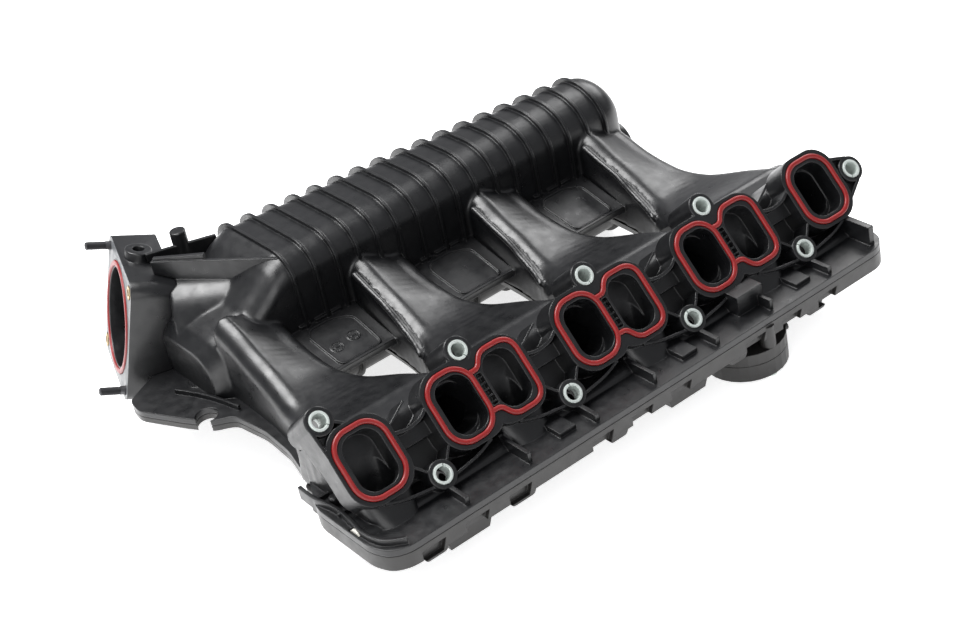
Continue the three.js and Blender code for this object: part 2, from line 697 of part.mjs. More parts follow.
oddPorts.forEach((x, i) => {
  place(`swirl_flap_${i + 1}`, flapPiece(x), steel());
  place(`flap_screw_${i + 1}a`, flapScrew(x - flapScrewShift), zinc());
  place(`flap_screw_${i + 1}b`, flapScrew(x + flapScrewShift), zinc());
});
bushPlaces.forEach((x, i) => place(`shaft_bush_${i + 1}`, bushPiece(x), acetal()));
place('shaft_lever', leverMade.body, steel());
place('actuator_rod', actuatorRod(), steel());
place('actuator_can', canLower(), nylon());
place('actuator_cover', canUpper(), nylon());
place('return_spring', springPiece(), steel());
canScrewPlaces.forEach((p, i) => place(`actuator_screw_${i + 1}`, canScrew(p), zinc()));

export default group;
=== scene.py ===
import math
import bmesh
import bpy
import numpy as np
from mathutils import Matrix, Vector


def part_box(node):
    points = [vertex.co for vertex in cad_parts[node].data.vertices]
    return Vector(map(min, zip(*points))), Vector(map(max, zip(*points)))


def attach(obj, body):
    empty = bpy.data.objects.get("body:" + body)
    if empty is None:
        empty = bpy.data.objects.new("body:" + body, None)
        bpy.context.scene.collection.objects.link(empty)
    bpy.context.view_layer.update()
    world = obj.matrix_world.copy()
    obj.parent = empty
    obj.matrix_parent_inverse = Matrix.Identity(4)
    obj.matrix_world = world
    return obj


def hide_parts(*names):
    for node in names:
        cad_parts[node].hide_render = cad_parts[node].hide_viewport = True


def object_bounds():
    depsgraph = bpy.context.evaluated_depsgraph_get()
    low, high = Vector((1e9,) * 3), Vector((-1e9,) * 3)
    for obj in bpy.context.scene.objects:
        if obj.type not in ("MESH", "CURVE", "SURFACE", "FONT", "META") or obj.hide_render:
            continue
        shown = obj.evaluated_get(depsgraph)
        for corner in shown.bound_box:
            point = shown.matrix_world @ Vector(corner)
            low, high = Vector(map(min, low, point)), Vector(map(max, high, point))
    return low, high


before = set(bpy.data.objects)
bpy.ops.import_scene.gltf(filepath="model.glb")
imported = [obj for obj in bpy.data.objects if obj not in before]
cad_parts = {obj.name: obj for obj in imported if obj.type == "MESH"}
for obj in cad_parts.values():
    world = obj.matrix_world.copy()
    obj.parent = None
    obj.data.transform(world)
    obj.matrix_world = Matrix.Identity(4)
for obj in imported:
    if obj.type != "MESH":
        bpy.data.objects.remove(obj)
cad_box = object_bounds()

# ------------------------------------------------------------------ driving dimensions, mm
MM = 0.001


def centre(node):
    """Middle of a CAD node's box, in mm."""
    low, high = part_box(node)
    return [(a + b) / 2 / MM for a, b in zip(low, high)]


CYLINDERS = [centre(f"lower_sleeve_{k}")[0] for k in (1, 2, 3, 4)]
PITCH = CYLINDERS[1] - CYLINDERS[0]
BOUNDARIES = [(a + b) / 2 for a, b in zip(CYLINDERS, CYLINDERS[1:])]
PORT_OFFSET = 32.75                      # port centre from cylinder centre
ODD = [x - PORT_OFFSET for x in CYLINDERS]
EVEN = [x + PORT_OFFSET for x in CYLINDERS]
TILT = math.radians(50)                  # flange face from horizontal
UP_U, OUT_W = (math.cos(TILT), math.sin(TILT)), (-math.sin(TILT), math.cos(TILT))
UPPER_BOLTS = [centre(f"upper_sleeve_{k}")[0] for k in (1, 2, 3, 4, 5)]
UPPER_RISE = [33, 28, 28, 28, 0]
BOLT_ROW = 28
SLEEVE_BORE = 6.35                       # radius of the holes that hold the sleeves
WELD_Z = -37.5
WALL = 3
SHAFT_Y = centre("flap_shaft")[1] + 0.05
SEAL_PROUD = 1.4
LIP_FRONT, LIP_LEFT, LIP_RIGHT = -41.4, -204.8, 198.8

PLENUM = {"x0": -138, "x1": 148, "front": 163, "top": 39, "back_left": 256, "back_right": 216,
          "shoulder_left": 18, "shoulder_right": 30, "back_radius": 25, "rib_radius": 21}
RIB_LAST, RIB_PITCH, RIB_COUNT, RIB_HALF = 142.5, PITCH / 6, 17, 1.0
RUNNER_SHIFT = -7
# Runner stations from the plenum to the flange: y, centre shift, half width, top of the left flank, and
# how far the right flank lies below it.
RUNNER = [(174, -7, 22, 20, 11), (157, -7, 22, 15, 11), (140, -7, 22.6, 7, 9), (120, -6.5, 24, 0, 7),
          (106, -5.5, 26.5, -5, 5), (88, -3, 32, -9, 2), (66, -1, 43, -7, 0), (44, 0, 47.8, -1, 0)]
INLET_CENTRE = Vector((-191, 279, -8))
INLET_NORMAL = Vector((-0.9, 0.31, 0.306)).normalized()
INLET_BORE, INLET_HALF, INLET_DEPTH = 33, 42.8, 29.8


# ------------------------------------------------------------------ outlines and closed forms
def lerp(a, b, t):
    return a + (b - a) * t


def arc(cx, cy, radius, start, end, steps):
    """Points on an arc, angles in degrees."""
    angles = [math.radians(lerp(start, end, i / steps)) for i in range(steps + 1)]
    return [(cx + radius * math.cos(a), cy + radius * math.sin(a)) for a in angles]


def rounded_box(width, height, corner, x=0.0, y=0.0, steps=8):
    """Rounded rectangle outline about (x, y)."""
    a, b = width / 2 - corner, height / 2 - corner
    points = []
    for sx, sy, start in ((1, 1, 0), (-1, 1, 90), (-1, -1, 180), (1, -1, 270)):
        points += arc(x + sx * a, y + sy * b, corner, start, start + 90, steps)
    return points


def rounded(points, radius, steps=5, closed=True):
    """A polygon or path with every corner turned into an arc."""
    result = []
    count = len(points)
    for i, p in enumerate(points):
        if not closed and i in (0, count - 1):
            result.append(tuple(p))
            continue
        here = Vector(p)
        back = Vector(points[i - 1]) - here
        ahead = Vector(points[(i + 1) % count]) - here
        reach = min(radius, back.length * 0.48, ahead.length * 0.48)
        start, end = here + back.normalized() * reach, here + ahead.normalized() * reach
        for k in range(steps + 1):
            t = k / steps
            result.append(tuple(start * (1 - t) ** 2 + here * 2 * t * (1 - t) + end * t ** 2))
    return result


def loft(rings, closed=False):
    """A closed skin over rings that have the same number of points."""
    rings = [np.asarray(r, float) for r in rings]
    count, rows = len(rings[0]), len(rings)
    vertices = np.concatenate(rings)
    faces = []
    for r in range(rows if closed else rows - 1):
        low, high = r * count, ((r + 1) % rows) * count
        faces += [(low + i, low + (i + 1) % count, high + (i + 1) % count, high + i) for i in range(count)]
    if not closed:
        faces.append(tuple(reversed(range(count))))
        faces.append(tuple((rows - 1) * count + i for i in range(count)))
    return vertices, faces


def prism(outline, z0, z1):
    return loft([[(x, y, z0) for x, y in outline], [(x, y, z1) for x, y in outline]])


def block(x0, x1, y0, y1, z0, z1):
    return prism([(x0, y0), (x1, y0), (x1, y1), (x0, y1)], z0, z1)


def turned(profile, sides=48):
    """A body of revolution about Z; the profile is a closed loop of (radius, z)."""
    rings = []
    for i in range(sides):
        a = 2 * math.pi * i / sides
        rings.append([(r * math.cos(a), r * math.sin(a), z) for r, z in profile])
    return loft(rings, closed=True)


def disc(radius, z0, z1, x=0.0, y=0.0, edge=0.0, sides=48):
    """A round plug along Z with an optional rounded edge at the top."""
    steps = [(radius, z0), (radius, z1 - edge)]
    if edge:
        steps += [(radius - edge + edge * math.cos(a), z1 - edge + edge * math.sin(a))
                  for a in (math.radians(22.5 * k) for k in (1, 2, 3, 4))]
    rings = []
    angles = [2 * math.pi * i / sides for i in range(sides)]
    for r, z in steps:
        rings.append([(x + r * math.cos(a), y + r * math.sin(a), z) for a in angles])
    return loft(rings)


def moved(form, matrix):
    vertices, faces = form
    m = np.array(matrix)
    return vertices @ m[:3, :3].T + m[:3, 3], faces


FLANGE = Matrix.Rotation(TILT, 4, "X")
ALONG_X = Matrix.Rotation(math.pi / 2, 4, "Y")


def inlet_matrix():
    across = Vector((0, 0, 1)).cross(INLET_NORMAL).normalized()
    rise = INLET_NORMAL.cross(across)
    m = Matrix((across, rise, INLET_NORMAL)).transposed().to_4x4()
    m.translation = INLET_CENTRE
    return m


INLET = inlet_matrix()


def flange_point(x, u, w):
    return x, u * UP_U[0] + w * OUT_W[0], u * UP_U[1] + w * OUT_W[1]


def strip(a, b, thickness, w0, w1):
    """A straight wall between two points of a plane."""
    a, b = Vector(a), Vector(b)
    side = (b - a).normalized().orthogonal() * thickness / 2
    outline = [a + side, a - side, b - side, b + side]
    return prism([tuple(p) for p in outline], w0, w1)


def ribbon(path, thickness, w0, w1):
    """A curved wall of constant thickness along a path of a plane."""
    points = [Vector(p) for p in path]
    left, right = [], []
    for i, p in enumerate(points):
        ahead = points[min(i + 1, len(points) - 1)] - points[max(i - 1, 0)]
        side = ahead.normalized().orthogonal() * thickness / 2
        left.append(tuple(p + side))
        right.append(tuple(p - side))
    return prism(left + right[::-1], w0, w1)


# ------------------------------------------------------------------ meshes
def make(name, *forms):
    """One mesh object from closed forms, faces turned outwards."""
    vertices, faces, offset = [], [], 0
    for points, loops in forms:
        vertices.append(np.asarray(points) * MM)
        faces += [tuple(i + offset for i in loop) for loop in loops]
        offset += len(points)
    mesh = bpy.data.meshes.new(name)
    mesh.from_pydata(np.concatenate(vertices).tolist(), [], faces)
    bm = bmesh.new()
    bm.from_mesh(mesh)
    bmesh.ops.remove_doubles(bm, verts=bm.verts, dist=1e-7)
    bmesh.ops.triangulate(bm, faces=[f for f in bm.faces if len(f.verts) > 4])
    bmesh.ops.recalc_face_normals(bm, faces=bm.faces)
    bm.to_mesh(mesh)
    bm.free()
    piece = bpy.data.objects.new(name, mesh)
    bpy.context.collection.objects.link(piece)
    return piece


def applied(piece):
    """Turns the piece's modifiers into its mesh."""
    graph = bpy.context.evaluated_depsgraph_get()
    mesh = bpy.data.meshes.new_from_object(piece.evaluated_get(graph))
    piece.modifiers.clear()
    piece.data = mesh
    return piece


def boolean(target, other, operation):
    modifier = target.modifiers.new("shape", "BOOLEAN")
    modifier.solver = "MANIFOLD"
    modifier.operation = operation
    modifier.object = other
    before = len(target.data.polygons)
    applied(target)
    if len(target.data.polygons) == 0:
        raise RuntimeError(f"{operation} of {other.name} left nothing of {before} faces")
    bpy.data.objects.remove(other)
    return target


def union(name, forms):
    """Joins closed forms in pairs, so that each join stays small."""
    pieces = [make(f"{name}_{i}", form) for i, form in enumerate(forms)]
    while len(pieces) > 1:
        pairs = [pieces[i:i + 2] for i in range(0, len(pieces), 2)]
        pieces = [boolean(p[0], p[1], "UNION") if len(p) == 2 else p[0] for p in pairs]
    pieces[0].name = name
    return pieces[0]


def melted(piece, voxel, smoothing, keep=1.0):
    """One moulded skin over overlapping bodies, with soft fillets where they meet."""
    remesh = piece.modifiers.new("skin", "REMESH")
    remesh.mode = "VOXEL"
    remesh.voxel_size = voxel * MM
    smooth = piece.modifiers.new("soft", "SMOOTH")
    smooth.factor = 0.5
    smooth.iterations = smoothing
    if keep < 1:
        fewer = piece.modifiers.new("fewer", "DECIMATE")
        fewer.ratio = keep
    return applied(piece)


def bevelled(piece, width, segments=3, angle=35):
    modifier = piece.modifiers.new("edge", "BEVEL")
    modifier.width = width * MM
    modifier.segments = segments
    modifier.limit_method = "ANGLE"
    modifier.angle_limit = math.radians(angle)
    return applied(piece)


def shaded(piece, angle=38):
    """Smooth shading with hard edges past an angle."""
    mesh = piece.data
    bm = bmesh.new()
    bm.from_mesh(mesh)
    limit = math.radians(angle)
    for face in bm.faces:
        face.smooth = True
    for edge in bm.edges:
        edge.smooth = len(edge.link_faces) == 2 and edge.calc_face_angle(0) < limit
    bm.to_mesh(mesh)
    bm.free()
    return piece


# ------------------------------------------------------------------ materials
def material(name, colour, roughness, metallic=0.0, vary=0.0, grain=0.0, grain_scale=900.0,
             edge=0.0, specular=0.5, streak=None, coat=0.0):
    """Procedural finish: cloudy colour and roughness, fine grain bump and softened edges."""
    m = bpy.data.materials.new(name)
    m.use_nodes = True
    nodes, links = m.node_tree.nodes, m.node_tree.links
    shader = nodes["Principled BSDF"]
    shader.inputs["Metallic"].default_value = metallic
    shader.inputs["Specular IOR Level"].default_value = specular
    shader.inputs["Coat Weight"].default_value = coat
    where = nodes.new("ShaderNodeTexCoord")
    clouds = nodes.new("ShaderNodeTexNoise")
    clouds.inputs["Scale"].default_value = 34.0
    clouds.inputs["Detail"].default_value = 5.0
    clouds.inputs["Roughness"].default_value = 0.6
    links.new(where.outputs["Object"], clouds.inputs["Vector"])
    tint = nodes.new("ShaderNodeMix")
    tint.data_type = "RGBA"
    tint.inputs["A"].default_value = (*[c * (1 - vary) for c in colour], 1)
    tint.inputs["B"].default_value = (*[min(1, c * (1 + vary)) for c in colour], 1)
    links.new(clouds.outputs["Fac"], tint.inputs["Factor"])
    links.new(tint.outputs["Result"], shader.inputs["Base Color"])
    scuffs = nodes.new("ShaderNodeTexNoise")
    scuffs.inputs["Scale"].default_value = 150.0
    scuffs.inputs["Detail"].default_value = 6.0
    if streak:
        stretch = nodes.new("ShaderNodeMapping")
        stretch.inputs["Scale"].default_value = streak
        links.new(where.outputs["Object"], stretch.inputs["Vector"])
        links.new(stretch.outputs["Vector"], scuffs.inputs["Vector"])
    else:
        links.new(where.outputs["Object"], scuffs.inputs["Vector"])
    spread = nodes.new("ShaderNodeMapRange")
    spread.inputs["From Min"].default_value = 0.3
    spread.inputs["From Max"].default_value = 0.7
    spread.inputs["To Min"].default_value = roughness - 0.06
    spread.inputs["To Max"].default_value = roughness + 0.08
    links.new(scuffs.outputs["Fac"], spread.inputs["Value"])
    links.new(spread.outputs["Result"], shader.inputs["Roughness"])
    grains = nodes.new("ShaderNodeTexNoise")
    grains.inputs["Scale"].default_value = grain_scale
    grains.inputs["Detail"].default_value = 3.0
    links.new(where.outputs["Object"], grains.inputs["Vector"])
    bump = nodes.new("ShaderNodeBump")
    bump.inputs["Strength"].default_value = 1.0
    bump.inputs["Distance"].default_value = grain * MM
    links.new(grains.outputs["Fac"], bump.inputs["Height"])
    if edge:
        soft = nodes.new("ShaderNodeBevel")
        soft.samples = 6
        soft.inputs["Radius"].default_value = edge * MM
        links.new(soft.outputs["Normal"], bump.inputs["Normal"])
    links.new(bump.outputs["Normal"], shader.inputs["Normal"])
    return m


NYLON = material("moulded_nylon", (0.0055, 0.0057, 0.0064), 0.33, vary=0.25, grain=0.035, edge=1.1)
NYLON_LOW = material("moulded_nylon_lower", (0.013, 0.0122, 0.0115), 0.40, vary=0.25, grain=0.04, edge=0.9)
NYLON_FACE = material("machined_flange_face", (0.10, 0.105, 0.11), 0.40, vary=0.12, grain=0.03, edge=0.5)
SILICONE = material("red_silicone", (0.20, 0.006, 0.006), 0.38, vary=0.10, grain=0.015, grain_scale=1400,
                    edge=0.3)
ZINC = material("zinc_plate", (0.60, 0.65, 0.62), 0.32, 0.5, vary=0.06, grain=0.006, grain_scale=2400)
STEEL = material("bright_steel", (0.55, 0.56, 0.57), 0.30, 1.0, vary=0.10, grain=0.006, streak=(20, 1, 1))
DARK_STEEL = material("phosphated_steel", (0.10, 0.10, 0.105), 0.42, 0.9, vary=0.15, grain=0.02)
BRASS = material("turned_brass", (0.42, 0.30, 0.14), 0.34, 1.0, vary=0.08, grain=0.006)
ACETAL = material("white_acetal", (0.70, 0.68, 0.62), 0.45, vary=0.05, grain=0.01)


def finish(piece, finish_material, body="manifold", replaced=()):
    piece.data.materials.clear()
    piece.data.materials.append(finish_material)
    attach(piece, body)
    if replaced:
        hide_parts(*replaced)
    return piece


# ------------------------------------------------------------------ plenum and runners
def plenum_ring(x, grow, bottom, back_radius, drop=0.0, tuck=0.0):
    """Section of the plenum above the weld plane at one x."""
    t = min(1.0, max(0.0, (x - PLENUM["x0"]) / (PLENUM["x1"] - PLENUM["x0"])))
    front = PLENUM["front"] - grow + tuck
    back = lerp(PLENUM["back_left"], PLENUM["back_right"], t) + grow - tuck
    top = PLENUM["top"] + grow - drop
    shoulder = lerp(PLENUM["shoulder_left"], PLENUM["shoulder_right"], t) + grow
    room = back - front - shoulder - 1
    curve = min(back_radius + grow, room)
    ring = [(x, front, bottom)]
    for y, z in arc(0, 0, 1, 180, 90, 10):
        ring.append((x, front + shoulder * (1 + y), top - shoulder * 0.8 * (1 - z)))
    ring += [(x, y, z) for y, z in arc(back - curve, top - curve, curve, 90, 0, 12)]
    ring.append((x, back, bottom))
    return ring


LEFT_SHOULDER = [(-184, 44, 12), (-176, 36, 5), (-165, 30, 3), (-152, 25, 1.5), (-140, 16, 0.5),
                 (-128, 6, 0), (-118, 0, 0)]
RIGHT_DOME = [(0, 0), (4, -1), (8, -3), (11, -5.5), (13, -8), (15, -11.5), (16, -14)]


def plenum_upper(grow, bottom):
    inset = min(grow, 0)
    rings = [plenum_ring(x - inset, grow, bottom, PLENUM["back_radius"], d, t) for x, d, t in LEFT_SHOULDER]
    steps = 14
    for i in range(1, steps + 1):
        x = lerp(LEFT_SHOULDER[-1][0], PLENUM["x1"] + inset, i / steps)
        rings.append(plenum_ring(x, grow, bottom, PLENUM["back_radius"]))
    if grow >= 0:
        for dx, g in RIGHT_DOME[1:]:
            rings.append(plenum_ring(PLENUM["x1"] + dx, g, bottom, PLENUM["back_radius"]))
    return loft(rings)


def rib_ring(x, bottom):
    """Rib section: it follows the plenum in front and stands tall over the back."""
    return plenum_ring(x, 2.5, bottom, PLENUM["rib_radius"])


def plenum_ribs():
    ribs = []
    for j in range(RIB_COUNT):
        x = RIB_LAST - j * RIB_PITCH
        ribs.append(loft([rib_ring(x - RIB_HALF, -16), rib_ring(x + RIB_HALF, -16)]))
    return ribs


def eased_stations(stations, per_span=4):
    """Catmull-Rom curve through the stations."""
    rows = [np.array(s, float) for s in stations]
    rows = [2 * rows[0] - rows[1]] + rows + [2 * rows[-1] - rows[-2]]
    result = []
    for i in range(1, len(rows) - 2):
        a, b, c, d = rows[i - 1:i + 3]
        for k in range(per_span):
            t = k / per_span
            result.append(0.5 * (2 * b + (c - a) * t + (2 * a - 5 * b + 4 * c - d) * t ** 2
                                 + (3 * b - a - 3 * c + d) * t ** 3))
    result.append(rows[-2])
    return result


def runner_ring(cx, station, inset, bottom, corner=12.0):
    y, shift, half, top, lean = station
    half, top, corner = half - inset, top - inset, corner - inset
    x = cx + shift
    ring = [(x - half, y, bottom)]
    ring += [(px, y, pz) for px, pz in arc(x - half + corner, top - corner, corner, 180, 90, 7)]
    ring += [(px, y, pz) for px, pz in arc(x + half - corner, top - lean - corner, corner, 90, 0, 7)]
    ring.append((x + half, y, bottom))
    return ring


def runner(cx, inset, bottom):
    return loft([runner_ring(cx, s, inset, bottom) for s in eased_stations(RUNNER)])


def port_ring(x, width, height, corner, w):
    return [flange_point(px, pu, w) for px, pu in rounded_box(width, height, corner, x, 0)]


def odd_duct(x, grow, out, bottom):
    """Duct from the first port of a cylinder down to the swirl flap."""
    foot = rounded_box(25 + 2 * grow, 29 + 2 * grow, 11 + grow, x, SHAFT_Y)
    return loft([port_ring(x, 25 + 2 * grow, 35 + 2 * grow, 10 + grow, out),
                 [(px, py, bottom) for px, py in foot]])


def even_duct(x, grow, out):
    back = rounded_box(25 + 2 * grow, 22 + 2 * grow, 7 + grow, x - 2, -22)
    return loft([port_ring(x, 25 + 2 * grow, 35 + 2 * grow, 10 + grow, out),
                 [(px, 34, pz) for px, pz in back]])


def elbow(grow, start):
    rings = []
    mouth = arc(0, 0, INLET_BORE + grow, 0, 352.5, 47)
    for w in (start, -INLET_DEPTH):
        rings.append([tuple(INLET @ Vector((px, py, w))) for px, py in mouth])
    for c, h, v, turn in (((-163, 241, -9), 31, 30, 33), ((-135, 212, -8), 34, 30, 12)):
        t = math.radians(turn)
        ring = []
        for px, py in arc(0, 0, 1, 0, 352.5, 47):
            reach = (h + grow) * px
            ring.append((c[0] - reach * math.sin(t), c[1] - reach * math.cos(t), c[2] + (v + grow) * py))
        rings.append(ring)
    return loft(rings)


def gallery():
    """Closed wall behind the port flange."""
    profile = rounded([(24, 0.4), (44, -2), (58, -9), (66, WELD_Z), (-9, WELD_Z), (-3, -31.5)], 5)
    rows = [LIP_LEFT + 12, -120, 0, 120, LIP_RIGHT - 5]
    return loft([[(x, y, z) for y, z in profile] for x in rows])


def runner_ridge(cx):
    """Raised line down the left flank of a runner, with the step near the flange."""
    path = [(cx - 29.5, 156, 14), (cx - 29.8, 138, 7), (cx - 30.5, 120, 1), (cx - 31.5, 106, -6.5),
            (cx - 34, 92, -10.5), (cx - 38, 80, -13)]
    rings = []
    for x, y, z in eased_stations(path, 3):
        rings.append([(x + px, y, z - 1.2 + pz) for px, pz in arc(0, 0, 2.6, 0, 330, 11)])
    return loft(rings)


# ------------------------------------------------------------------ flange details
PAIR = {"first": (-0.4, 24.4), "second": (2.0, 22.6)}     # opening: shift of centre, width


def port_openings():
    """Centre and width of each of the eight openings."""
    rows = [(ODD[0], 25.4)]
    for k in range(3):
        rows.append((EVEN[k] + PAIR["first"][0], PAIR["first"][1]))
        rows.append((ODD[k + 1] + PAIR["second"][0], PAIR["second"][1]))
    rows.append((EVEN[3], 25.4))
    return rows


def flange_pads():
    """Rims, bosses and webs of the port flange, in the flange frame."""
    forms = []
    for x in ODD + EVEN:
        forms.append(prism(rounded_box(42.6, 50.6, 15.5, x, 0, 10), -20, 0))
    for k, (x, u) in enumerate(zip(UPPER_BOLTS, UPPER_RISE)):
        forms.append(disc(8.8, -34 if k == 0 else -30, 0, x, u, 0.7))
    for x in CYLINDERS:
        forms.append(disc(8.8, -14, 0, x, -BOLT_ROW, 0.7))
        # thin walls from the lower boss to the ports beside it
        for side in (-1, 1):
            forms.append(strip((x + side * 6.5, -BOLT_ROW + 5), (x + side * 19, -9), 1.5, -21, -1.2))
            inner = x + side * 38
            skirt = [(x + side * 7, -BOLT_ROW - 4), (x + side * 26, -29.5), (inner, -25.5)]
            forms.append(ribbon(rounded(skirt, 14, 6, closed=False), 1.7, -21, -1.6))
        forms.append(strip((x, -BOLT_ROW - 6), (x, -46), 3.0, -16, -3.5))
        forms += scallop(x)
    # tents of wall round each upper boss
    for x in BOUNDARIES:
        for side in (-1, 1):
            forms.append(strip((x + side * 8, BOLT_ROW - 2), (x + side * 17, 17.5), 1.8, -22, -1.0))
        forms.append(strip((x - 2.8, BOLT_ROW - 7), (x - 2.8, 17), 1.2, -22, -1.8))
        forms.append(strip((x + 2.8, BOLT_ROW - 7), (x + 2.8, 17), 1.2, -22, -1.8))
        forms.append(disc(4.6, -24, -7, x + 3, -BOLT_ROW - 1, 1.5))
        forms.append(strip((x - 2, -BOLT_ROW + 2), (x - 2, -42), 2.4, -19, -8))
    left, right = UPPER_BOLTS[0], UPPER_BOLTS[4]
    forms.append(strip((left - 7.6, UPPER_RISE[0]), (ODD[0] - 19.9, 8), 1.8, -24, 0))
    forms.append(strip((left + 7.4, UPPER_RISE[0] - 4), (ODD[0] + 1, 23.5), 1.8, -24, -0.6))
    gusset = [(left - 3, 30), (left + 5, 28), (ODD[0] - 4, 22), (ODD[0] - 18, 16)]
    forms.append(prism(rounded(gusset, 2), -24, -5))
    web = [(EVEN[3] + 14, 15), (right, 8.4), (right, -8.4), (EVEN[3] + 14, -19)]
    forms.append(prism(web, -16, -4))
    forms.append(strip((EVEN[3] + 17, 13.5), (right + 1, 8), 1.9, -16, 0))
    forms.append(strip((EVEN[3] + 16, -18), (right + 1, -8), 1.9, -16, 0))
    return forms


def scallop(x):
    """The curved web that dips between the two ports of a cylinder, and its stiffener."""
    dip = [(x - 19, 10), (x - 12, 5.6), (x - 4, 3.8), (x + 6, 5), (x + 13, 9.5), (x + 18, 15)]
    return [
        ribbon(rounded(dip, 8, 5, closed=False), 2.0, -24, -0.5),
        strip((x - 18, 7), (x + 4, 19), 1.4, -22, -3),
        prism([(x - 20, -5), (x + 20, -5), (x + 20, 4), (x - 20, 4)], -22, -9.5),
    ]


SEAL_BAND = 3.0


def seal_path(x0, x1):
    """Centre line of a loop between two x positions."""
    return rounded_box(x1 - x0, 42.4, 13, (x0 + x1) / 2, 0, 10)


def tube(path, section, closed):
    """Sweeps a section of (side, w) along a path on the flange face."""
    points = [Vector(p) for p in path]
    count = len(points)
    rings = []
    for i, p in enumerate(points):
        if closed:
            ahead = points[(i + 1) % count] - points[i - 1]
        else:
            ahead = points[min(i + 1, count - 1)] - points[max(i - 1, 0)]
        side = Vector((ahead.y, -ahead.x)).normalized()
        rings.append([(p.x + side.x * s, p.y + side.y * s, w) for s, w in section])
    return loft(rings, closed=closed)


def seal_section(slack, bottom, top):
    half = SEAL_BAND / 2 + slack
    crown = [(half * math.cos(a), top - 0.9 + 0.9 * math.sin(a)) for a in
             (math.radians(18 * k) for k in range(11))]
    return [(half, bottom)] + crown + [(-half, bottom)]


def seal_forms(group, slack, bottom, top):
    """Loops of one seal: a single port, or a pair with a shared wall."""
    section = seal_section(slack, bottom, top)
    if len(group) == 1:
        x = group[0]
        return [tube(seal_path(x - 17.2, x + 17.2), section, True)]
    first, second = group
    middle = (first + second) / 2
    wall = middle - 1.6
    loop = tube(seal_path(first - 17.2, wall), section, True)
    right = second + 17.2
    around = [(wall, 13), (wall + 6.0, 13), (wall + 12, 21.2), (right, 21.2), (right, -21.2),
              (wall + 12, -21.2), (wall + 6.0, -12.5), (wall, -12.5)]
    return [loop, tube(rounded(around, 12, 9, closed=False), section, False)]


SEAL_GROUPS = [[ODD[0]], [EVEN[0], ODD[1]], [EVEN[1], ODD[2]], [EVEN[2], ODD[3]], [EVEN[3]]]


def flange_cuts():
    """Everything cut into the face of the port flange, in the flange frame."""
    cuts = []
    for x, u in zip(UPPER_BOLTS, UPPER_RISE):
        cuts.append(disc(SLEEVE_BORE, -90 if x in UPPER_BOLTS[1:4] else -50, 2, x, u))
    cuts += bolt_tunnels()
    for group in SEAL_GROUPS:
        cuts += seal_forms(group, 0.2, -2.4, 3)
    for x in BOUNDARIES:
        # ladder pocket beside the shared wall of a pair of seals
        pocket = [(x + 0.9, -10), (x + 4.9, -10), (x + 4.9, 10.4), (x + 0.9, 10.4)]
        cuts.append(prism(rounded(pocket, 1), -5, 2))
    return cuts


def bolt_tunnels():
    """Ways through both mouldings for the lower bolts, in the flange frame."""
    return [disc(SLEEVE_BORE, -70, 2, x, -BOLT_ROW) for x in CYLINDERS]


def ladder_rungs():
    rungs = []
    for x in BOUNDARIES:
        for k in range(5):
            u = -8 + 4 * k
            rung = [(x + 0.6, u - 0.6), (x + 5.2, u - 0.6), (x + 5.2, u + 0.6), (x + 0.6, u + 0.6)]
            rungs.append(prism(rung, -6, -1.4))
    return rungs


# ------------------------------------------------------------------ base lip, plates and dials
def lip_outline(grow=0.0):
    points = [(-190, LIP_FRONT), (186, LIP_FRONT), (196, -34), (LIP_RIGHT, -20), (LIP_RIGHT, 30), (194, 60),
              (-190, 60), (-198, 44), (LIP_LEFT, 30), (LIP_LEFT, -24), (-200, -36)]
    middle = Vector((0, 10))
    shrunk = [middle + (Vector(p) - middle) * (1 + grow / 100) for p in points]
    return rounded([tuple(p) for p in shrunk], 9)


SIDE_PLATE = [(-150, 60), (-150, 200), (-165, 232), (-196, 236), (-221.6, 222), (-223.6, 207), (-208, 174),
              (-199, 158), (-186, 150), (-182, 120), (-184, 90), (-192, 58)]


def web_plates():
    """Plates that close the gaps between the runners, with their sunk panels."""
    plates = []
    for x in BOUNDARIES:
        plates.append(loft([[(x + e, 170, -8.2), (x + e, 119, -22), (x + e, 119, -25.4), (x + e, 170, -11.6)]
                            for e in (-33, 18)]))
    return plates


def on_web(x, form):
    """Lays a form drawn on the XY plane onto the sloping web plate at boundary x."""
    slope = math.atan2(-8.2 + 22, 170 - 119)
    m = Matrix.Translation((x, 119, -22)) @ Matrix.Rotation(slope, 4, "X")
    return moved(form, m)


def web_details():
    """Frames round the panels, the tabs behind them and the front bar of each window."""
    forms = []
    for x in BOUNDARIES:
        outer = rounded([(-22, 3), (9.5, 3), (9.5, 35), (-3, 41), (-20, 41), (-24, 36)], 5)
        path = outer + outer[:1]
        forms.append(on_web(x, ribbon(path, 1.2, -1, 1.1)))
        for k, dx in enumerate((-20, -8, 4)):
            tab = rounded([(dx - 4.5, 44), (dx + 4.5, 44), (dx + 3.4, 50), (dx - 3.4, 50)], 1.4)
            forms.append(on_web(x, prism(tab, -1, 2.8 - 0.4 * k)))
        forms.append(on_web(x, strip((-31, 0.8), (16.5, 0.8), 2.2, -4, 1.6)))
    return forms


def dial(cx, cy, radius=4.2, ticks=12):
    """A plain moulding dial: a ring, tick marks and a pointer, with no lettering."""
    ring = arc(cx, cy, radius, 0, 345, 23)
    forms = [ribbon(ring + ring[:1], 0.35, -0.4, 0.35)]
    for k in range(ticks):
        a = 2 * math.pi * k / ticks
        inner, outer = radius * 0.66, radius * 0.86
        forms.append(strip((cx + inner * math.cos(a), cy + inner * math.sin(a)),
                           (cx + outer * math.cos(a), cy + outer * math.sin(a)), 0.5, -0.4, 0.3))
    forms.append(strip((cx - 1.6, cy), (cx + 1.6, cy), 0.8, -0.4, 0.35))
    return forms


